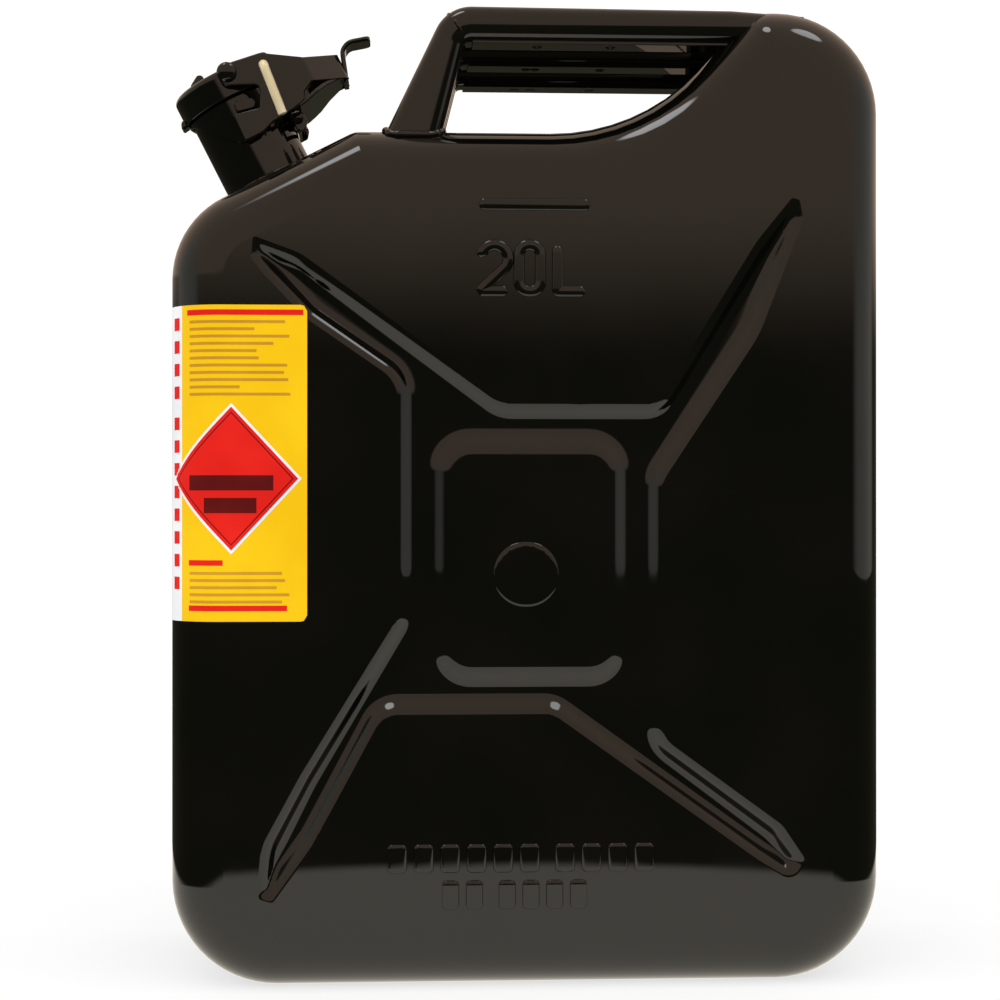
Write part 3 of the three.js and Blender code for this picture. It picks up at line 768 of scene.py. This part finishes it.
def pivot_pin(enamel):
    """Pin through both cheeks and the lid, with a domed head at each end."""
    skin = Skin(across(PIVOT["u"], PIVOT["t"]))
    seat, head = CHEEK["outer"] + GAP / 2, PIVOT["head"]
    dome = [(PIVOT["pin"], 0.0), (head, 0.0, 0.2), (head, 0.9, 0.9)]
    dome = [(p.x, p.y) for p in rounded(dome, closed=False)]
    for k in range(1, 12):
        a = math.radians(90 * k / 11)
        dome.append((head * math.cos(a) if k < 11 else 0.0, 0.9 + 2.9 * math.sin(a)))
    far = [(r, seat + h) for r, h in dome]
    near = [(r, -h) for r, h in reversed(far)]
    skin.lathe(near + far, closed=False, segments=48)
    skin.finish("pivot_rivet", "lid", "enamel", [enamel], ["lever_pivot_pin"])


# ---------------------------------------------------------------- cam lever and lock
def cheek_corners():
    start = TAIL["start"]
    return [
        (-3.1, 11.8, 1.5), (7.8, 12.5, 3), (14, 14.7, 4), (25.2, 15.8, 6), (32.5, 17.2, 2), (34.5, 21, 4),
        (start, 24.4), (start, 37.5), (23.3, 48.6, 3), (9.5, 50.6, 4), (-0.5, 52.3, 5), (-0.7, 41.8, 5),
        (7, 38.6, 2), (15.4, 34.6, 2), (14.5, 30.4, 2), (11, 24, 1.5), (-2.6, 26.9, 1),
    ]


def tail_side(skin, side):
    """Sheet wall that bends inward from a cheek to the width of the thumb tab."""
    sheet = CHEEK["outer"] - CHEEK["inner"]
    start, end = TAIL["start"], TAIL["end"]
    sections = [
        (start - 1.5, CHEEK["outer"], 24.0, 38.3), (start - 0.4, CHEEK["outer"] - 0.1, 24.2, 37.7),
        (start + 0.8, CHEEK["outer"] - 0.9, 24.0, 37.2), (end - 2.0, TAIL["half_width"] + 2.6, 21.0, 34.4),
        (end - 0.4, TAIL["half_width"] + 0.2, 20.6, 34.3),
    ]
    rings = []
    for u, out, low, high in sections:
        section = rounded(rectangle((out - sheet, out), (low, high), 0.7))
        rings.append([Vector((u, side * p.x, p.y)) for p in section])
    skin.loft(rings)


def lever_floor(skin):
    """Plate between the cheeks under the lever, narrowing with them toward the tab."""
    sections = [  # u, underside, half width
        (29.5, 15.6, 30.3), (33.4, 16.2, 30.3), (37.0, 17.2, 30.3), (41.0, 18.4, 29.8),
        (47.0, 20.4, 23.4), (52.0, 21.3, 18.0), (58.0, 22.2, 11.2),
    ]
    thick = 2.0
    rings = []
    for u, t, half in sections:
        section = rounded(rectangle((-half, half), (t, t + thick), 0.6))
        rings.append([Vector((u, p.x, p.y)) for p in section])
    skin.loft(rings)


def cam_lever(enamel):
    skin = Skin(TO_NECK)
    inner, outer = CHEEK["inner"], CHEEK["outer"]
    pivot = (PIVOT["u"], PIVOT["t"], PIVOT["pin"] + GAP)
    lock = (LOCK["u"], LOCK["t"], LOCK["radius"] + GAP)
    skin.slab(cheek_corners(), (-outer, -inner), 0.7, [pivot, lock])
    skin.slab(cheek_corners(), (inner, outer), 0.7, [pivot])
    for side in (-1, 1):
        tail_side(skin, side)
    lever_floor(skin)
    skin.finish("lever_cheeks", "lever", "enamel", [enamel], ["cam_lever"])


def thumb_tab(enamel):
    """S-bent tab; its free end is rounded off in plan."""
    half = TAIL["half_width"]
    centre = rounded(
        [(57.0, 19.6), (58.4, 23.5, 4), (62.3, 35.2, 5), (67.0, 37.6, 6), (77.9, 34.6)], closed=False
    )
    centre = resample(centre, 1.0)
    thick = 2.4
    count = len(centre)
    rings = []
    for i, p in enumerate(centre):
        along = (centre[min(i + 1, count - 1)] - centre[max(i - 1, 0)]).normalized()
        up = Vector((-along.y, along.x))
        to_end = (count - 1 - i) * 1.0
        inset = 3.0 - math.sqrt(max(0.0, 9.0 - max(0.0, 3.0 - to_end) ** 2))
        section = rounded(rectangle((-half + inset, half - inset), (-thick / 2, thick / 2), 1.1))
        rings.append([Vector((p.x + up.x * q.y, q.x, p.y + up.y * q.y)) for q in section])
    skin = Skin(TO_NECK)
    skin.loft(rings)
    skin.finish("lever_tab", "lever", "enamel", [enamel], ["thumb_tab"])


def locking_pin(zinc):
    u, t, radius, bend = LOCK["u"], LOCK["t"], LOCK["radius"], LOCK["bend"]
    y = -(CHEEK["outer"] + 2 * radius + GAP)
    corner = [Vector((u, -LOCK["arm_end"], t)), Vector((u, y + bend, t))]
    foot = Vector((u + LOCK["lean"], y, t - LOCK["leg"]))
    knee = Vector((u, y, t))
    down = (foot - knee).normalized()
    leg_start = knee + down * bend
    for k in range(1, 12):
        s = k / 12
        corner.append(corner[1].lerp(knee, s).lerp(knee.lerp(leg_start, s), s))
    path = resample(corner + [leg_start, foot], 0.8)
    radii = [radius] * len(path)
    radii[0] = radii[-1] = radius * 0.86
    path[1] = path[0].lerp(path[1], 0.4)
    path[-2] = path[-1].lerp(path[-2], 0.4)
    skin = Skin(TO_NECK)
    skin.sweep(path, radii, 28)
    skin.finish("lock_wire", "lock", "yellow_zinc", [zinc], ["locking_pin"])


# ---------------------------------------------------------------- label
def wrapped(s, z, out):
    """Place on the body at distance s from the label's right edge, measured along the film."""
    flat = LABEL["right"] + BODY["half_width"] - BODY["edge"]
    turn_x = -(BODY["half_width"] - BODY["edge"])
    turn_y = -(BODY["half_depth"] - BODY["edge"])
    radius = BODY["edge"] + out
    if s <= flat:
        return Vector((LABEL["right"] - s, turn_y - radius, z))
    angle = (s - flat) / BODY["edge"]
    if angle <= math.pi / 2:
        return Vector((turn_x - radius * math.sin(angle), turn_y - radius * math.cos(angle), z))
    return Vector((turn_x - radius, turn_y + (s - flat - BODY["edge"] * math.pi / 2), z))


def printed(skin, s_range, low, high, level, material):
    """Film between the lines low(s) and high(s), lying at a level above the shell."""
    s0, s1 = s_range
    steps = max(1, math.ceil((s1 - s0) / 1.5))
    base = LABEL["gap"] + level * LABEL["ink"]
    top = base + (LABEL["film"] if level == 0 else LABEL["ink"])
    if level:
        base, top = base + LABEL["film"], top + LABEL["film"]
    rings = []
    for k in range(steps + 1):
        s = s0 + (s1 - s0) * k / steps
        z0, z1 = low(s), max(high(s), low(s) + 0.02)
        rings.append([wrapped(s, z0, base), wrapped(s, z1, base), wrapped(s, z1, top), wrapped(s, z0, top)])
    skin.loft(rings, material=material)


def bar(skin, s_range, z_range, level, material):
    printed(skin, s_range, lambda s: z_range[0], lambda s: z_range[1], level, material)


def diamond(skin, half_width, half_height, level, material):
    middle_s, middle_z = 36.0, 245.0

    def low(s):
        return middle_z - half_height * (1 - abs(s - middle_s) / half_width)

    def high(s):
        return middle_z + half_height * (1 - abs(s - middle_s) / half_width)

    for start, end in ((middle_s - half_width, middle_s), (middle_s, middle_s + half_width)):
        printed(skin, (start, end), low, high, level, material)


def text_bars(skin, top, pitch, lengths, material):
    """Blank lines where small print would be."""
    for i, length in enumerate(lengths):
        z = top - pitch * i
        bar(skin, (LABEL_YELLOW - 5.5 - 50 * length, LABEL_YELLOW - 5.5), (z - 1.3, z), 1, material)


def label(films):
    yellow, white, red, dark, ochre = range(5)
    z0, z1 = LABEL["z"]
    corner = 3.0

    def rounding(s):
        return corner - math.sqrt(max(0.0, corner ** 2 - max(0.0, corner - s) ** 2))

    skin = Skin()
    printed(skin, (0.0, corner), lambda s: z0 + rounding(s), lambda s: z1 - rounding(s), 0, yellow)
    bar(skin, (corner, LABEL_YELLOW), (z0, z1), 0, yellow)
    bar(skin, (LABEL_YELLOW, LABEL_WIDTH), (z0, z1), 0, white)
    diamond(skin, 33.5, 36.0, 1, white)
    diamond(skin, 31.8, 34.2, 2, red)
    diamond(skin, 29.6, 31.8, 3, dark)
    diamond(skin, 28.9, 31.1, 4, red)
    bar(skin, (16.0, 57.0), (239.4, 246.6), 5, dark)
    bar(skin, (24.0, 49.0), (228.6, 235.8), 5, dark)
    bar(skin, (1.8, 58.6), (322.8, 325.4), 1, red)
    text_bars(skin, 320.3, 3.45, (0.93, 0.64, 0.97, 0.82, 0.66, 0.68, 0.95, 0.92, 0.96, 0.5, 0.98), ochre)
    bar(skin, (40.0, 57.5), (203.6, 206.2), 1, red)
    text_bars(skin, 200.6, 3.4, (0.9, 0.93, 0.85, 0.97, 0.9), ochre)
    bar(skin, (9.5, 57.5), (182.0, 184.6), 1, red)
    for k in range(12):
        z = 322.0 - 10.9 * k - (4.0 if k > 3 else 0.0)
        bar(skin, (LABEL_YELLOW + 2.0, LABEL_YELLOW + 7.5), (z - 6.0, z), 1, red)
    skin.finish("label_print", "can", "label_film", films, ["wrap_label"])


# ---------------------------------------------------------------- materials
class Graph:
    """Short way to write a node tree."""

    def __init__(self, tree):
        self.tree = tree
        tree.nodes.clear()

    def node(self, kind, **inputs):
        made = self.tree.nodes.new(kind)
        for name, value in inputs.items():
            self.feed(made.inputs[name.replace("_", " ")], value)
        return made

    def feed(self, socket, value):
        if isinstance(value, bpy.types.NodeSocket):
            self.tree.links.new(value, socket)
        else:
            socket.default_value = value

    def math(self, operation, a, b=0.0, c=0.0):
        made = self.tree.nodes.new("ShaderNodeMath")
        made.operation = operation
        for socket, value in zip(made.inputs, (a, b, c)):
            self.feed(socket, value)
        return made.outputs[0]

    def soft_step(self, value, low, high):
        """0 below low, 1 above high."""
        made = self.tree.nodes.new("ShaderNodeMapRange")
        made.interpolation_type = "SMOOTHSTEP"
        for socket, given in zip(made.inputs, (value, low, high, 0.0, 1.0)):
            self.feed(socket, given)
        return made.outputs[0]

    def mix(self, factor, a, b):
        made = self.tree.nodes.new("ShaderNodeMix")
        made.data_type = "RGBA"
        self.feed(made.inputs["Factor"], factor)
        self.feed(made.inputs[6], a)
        self.feed(made.inputs[7], b)
        return made.outputs[2]

    def noise(self, scale, detail=2.0, stretch=(1, 1, 1)):
        place = self.node("ShaderNodeTexCoord").outputs["Object"]
        mapping = self.node("ShaderNodeMapping", Vector=place, Scale=stretch)
        made = self.node("ShaderNodeTexNoise", Vector=mapping.outputs[0], Scale=scale, Detail=detail)
        return made.outputs[0]


def grey(value):
    return (value, value, value, 1.0)


def surface(name, dark, light, rough, bump, scale, metallic=0.0, ior=1.5, stretch=(1, 1, 1)):
    """Material whose colour, roughness and relief vary with noise, with worn edges a little duller.

    rough is (smoothest, roughest); bump is (strength, noise scale); scale is the colour noise's.
    """
    material = bpy.data.materials.new(name)
    material.use_nodes = True
    g = Graph(material.node_tree)
    patches = g.noise(scale, 3.0, stretch)
    colour = g.mix(g.soft_step(patches, 0.3, 0.7), (*dark, 1.0), (*light, 1.0))
    wear = g.soft_step(g.node("ShaderNodeNewGeometry").outputs["Pointiness"], 0.53, 0.62)
    spread = g.soft_step(g.noise(scale * 2.3, 4.0), 0.35, 0.75)
    worn = g.math("MAXIMUM", g.math("MULTIPLY", wear, 0.5), spread)
    roughness = g.math("MULTIPLY_ADD", worn, rough[1] - rough[0], rough[0])
    height = g.noise(bump[1], 2.0, stretch)
    relief = g.node("ShaderNodeBump", Strength=bump[0], Distance=0.001, Height=height)
    shader = g.node(
        "ShaderNodeBsdfPrincipled", Base_Color=colour, Roughness=roughness, Metallic=metallic,
        IOR=ior, Normal=relief.outputs[0],
    )
    g.node("ShaderNodeOutputMaterial", Surface=shader.outputs[0])
    return material


def film(colour_name, dark, light):
    """Printed film of the label, satin and all but free of mirror shine."""
    return surface(f"film_{colour_name}", dark, light, (0.4, 0.55), (0.08, 200), 20, ior=1.15)


def make_materials():
    paint = (0.0014, 0.0016, 0.001)
    return {
        "enamel": surface("enamel_paint", paint, (0.003, 0.0028, 0.002), (0.015, 0.05), (0.003, 55), 14),
        "weld": surface("painted_weld", paint, (0.006, 0.005, 0.004), (0.1, 0.3), (0.5, 420), 60),
        "zinc": surface(
            "zinc_wire", (0.78, 0.66, 0.4), (0.95, 0.88, 0.66), (0.3, 0.5), (0.04, 300), 90, 0.3,
            stretch=(1, 1, 0.15),
        ),
        "steel": surface(
            "drawn_steel", (0.36, 0.36, 0.35), (0.55, 0.55, 0.53), (0.25, 0.45), (0.15, 250), 60, 1.0,
        ),
        "rubber": surface(
            "gasket_rubber", (0.012, 0.012, 0.012), (0.03, 0.03, 0.029), (0.6, 0.85), (0.3, 500), 120,
        ),
        "films": [
            film("yellow", (0.9, 0.53, 0.004), (0.97, 0.6, 0.008)),
            film("white", (0.82, 0.82, 0.85), (0.92, 0.92, 0.93)),
            film("red", (0.72, 0.012, 0.008), (0.85, 0.02, 0.012)),
            film("dark", (0.10, 0.004, 0.004), (0.16, 0.008, 0.006)),
            film("ochre", (0.52, 0.25, 0.02), (0.66, 0.34, 0.03)),
        ],
    }


# ---------------------------------------------------------------- studio
# Painted reflections: colours that only mirror rays see, standing for surroundings and light that are not
# in the scene.
PAINTED_REFLECTION_DARK = (0.055, 0.052, 0.034, 1.0)
PAINTED_REFLECTION_WALL = (0.78, 0.6, 0.46, 1.0)
PAINTED_REFLECTION_SIDE = (0.62, 0.6, 0.55, 1.0)
PAINTED_REFLECTION_RING = (1.25, 1.17, 1.02, 1.0)
RING_EDGE = (0.44, 0.04)  # metres from the can's middle to where the paint stops mirroring it; fade
FLOOR_HALF = 6.0
# Painted glints: bright spots that only mirror rays see; they light nothing.
PAINTED_GLINTS = (  # direction, cosine of the half angle, strength
    ((-0.29, -0.17, 0.94), 0.985, 6.0),
    ((0.42, -0.17, 0.89), 0.985, 5.0),
)


def glossy_split(g, kind, seen, mirrored):
    """Gives mirror rays a different shader from all other rays, which is how the reflections are painted.
    """
    blend = g.node("ShaderNodeMixShader")
    g.feed(blend.inputs[0], g.node("ShaderNodeLightPath").outputs["Is Glossy Ray"])
    g.feed(blend.inputs[1], seen.outputs[0])
    g.feed(blend.inputs[2], mirrored.outputs[0])
    g.node(kind, Surface=blend.outputs[0])


def studio_floor():
    """Plain pale floor. Mirror rays see a painted reflection of it: pale in a ring round the can, painted
    dark beyond.
    """
    bm = bmesh.new()
    bmesh.ops.create_grid(bm, x_segments=1, y_segments=1, size=FLOOR_HALF)
    mesh = bpy.data.meshes.new("floor")
    bm.to_mesh(mesh)
    bm.free()
    floor = bpy.data.objects.new("floor", mesh)
    bpy.context.scene.collection.objects.link(floor)
    material = bpy.data.materials.new("floor_paper_painted_reflection")
    material.use_nodes = True
    g = Graph(material.node_tree)
    fibre = g.noise(40, 4.0)
    sheet = g.node("ShaderNodeBsdfDiffuse", Color=g.mix(fibre, grey(0.9), grey(0.94)), Roughness=0.6)
    glow = g.node("ShaderNodeEmission", Color=grey(1.12))
    pale = g.node("ShaderNodeMixShader")
    g.feed(pale.inputs[0], 0.6)
    g.feed(pale.inputs[1], sheet.outputs[0])
    g.feed(pale.inputs[2], glow.outputs[0])
    # painted reflection of the floor: glowing pale near the can, painted dark farther out
    edge, fade = RING_EDGE
    from_middle = g.node("ShaderNodeVectorMath", Vector=g.node("ShaderNodeNewGeometry").outputs["Position"])
    from_middle.operation = "LENGTH"
    painted_pale_ring = g.soft_step(from_middle.outputs["Value"], edge + fade, edge)
    mirrored = g.node("ShaderNodeEmission", Color=g.mix(painted_pale_ring, PAINTED_REFLECTION_DARK, PAINTED_REFLECTION_RING))
    glossy_split(g, "ShaderNodeOutputMaterial", pale, mirrored)
    mesh.materials.append(material)


def studio_world():
    """White surround. Mirror rays alone see a painted reflection, dark below and warm grey above, pale at
    the sides, with painted glints.
    """
    world = bpy.data.worlds.new("studio")
    bpy.context.scene.world = world
    world.use_nodes = True
    g = Graph(world.node_tree)
    direction = g.node("ShaderNodeTexCoord").outputs["Generated"]
    split = g.node("ShaderNodeSeparateXYZ", Vector=direction)
    x, z = split.outputs[0], split.outputs[2]
    # painted reflection: dark below the horizon, warm grey above
    painted_surround = g.mix(g.soft_step(z, 0.06, 0.14), PAINTED_REFLECTION_DARK, PAINTED_REFLECTION_WALL)
    # painted reflection: pale at the far sides
    beside = g.soft_step(g.math("ABSOLUTE", x), 0.80, 0.95)
    painted_surround = g.mix(beside, painted_surround, PAINTED_REFLECTION_SIDE)
    # painted glints on the paint, seen only in reflections
    for towards, edge, strength in PAINTED_GLINTS:
        facing = g.node("ShaderNodeVectorMath")
        facing.operation = "DOT_PRODUCT"
        g.feed(facing.inputs[0], direction)
        g.feed(facing.inputs[1], Vector(towards).normalized())
        painted_surround = g.mix(g.soft_step(facing.outputs["Value"], edge, (1 + edge) / 2), painted_surround, grey(strength))
    mirrored = g.node("ShaderNodeBackground", Color=painted_surround, Strength=1.0)
    plain = g.node("ShaderNodeBackground", Color=grey(1.0), Strength=1.08)
    glossy_split(g, "ShaderNodeOutputWorld", plain, mirrored)


def studio_camera():
    camera = bpy.data.objects.new("camera", bpy.data.cameras.new("camera"))
    bpy.context.scene.collection.objects.link(camera)
    place, target = Vector((-0.074, -1.150, 0.233)), Vector((-0.010, 0.0, 0.235))
    camera.location = place
    camera.rotation_mode = "QUATERNION"
    camera.rotation_quaternion = (target - place).to_track_quat("-Z", "Y")
    camera.data.lens = 80.5
    camera.data.clip_start = 0.05
    bpy.context.scene.camera = camera
    bpy.context.scene.view_settings.view_transform = "Standard"


# ---------------------------------------------------------------- assembly
looks = make_materials()
enamel, weld = looks["enamel"], looks["weld"]

pressing = pressed_net()
shell("shell_front", -1, pressing, front_details, enamel, "front_shell")
shell("shell_rear", 1, pressing, rear_details, enamel, "rear_shell")
seam(weld)
handle("front", -HANDLE["spacing"], 136, (5, 41), enamel)
handle("middle", 0, 108, (3.3, 8.0, 41.6), enamel)
handle("rear", HANDLE["spacing"], 136, (0.7, 9.4, 41.4), enamel)
filler_neck(enamel, weld)
neck_collar(enamel)
neck_lug("front", -1, enamel)
neck_lug("rear", 1, enamel)
hinge(enamel)
lid(enamel)
lid_fittings(enamel, looks["rubber"], looks["steel"])
pivot_pin(enamel)
cam_lever(enamel)
thumb_tab(enamel)
locking_pin(looks["zinc"])
label(looks["films"])
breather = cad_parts["breather_tube"]
breather.data.materials.clear()
breather.data.materials.append(looks["steel"])

studio_floor()
studio_world()
studio_camera()
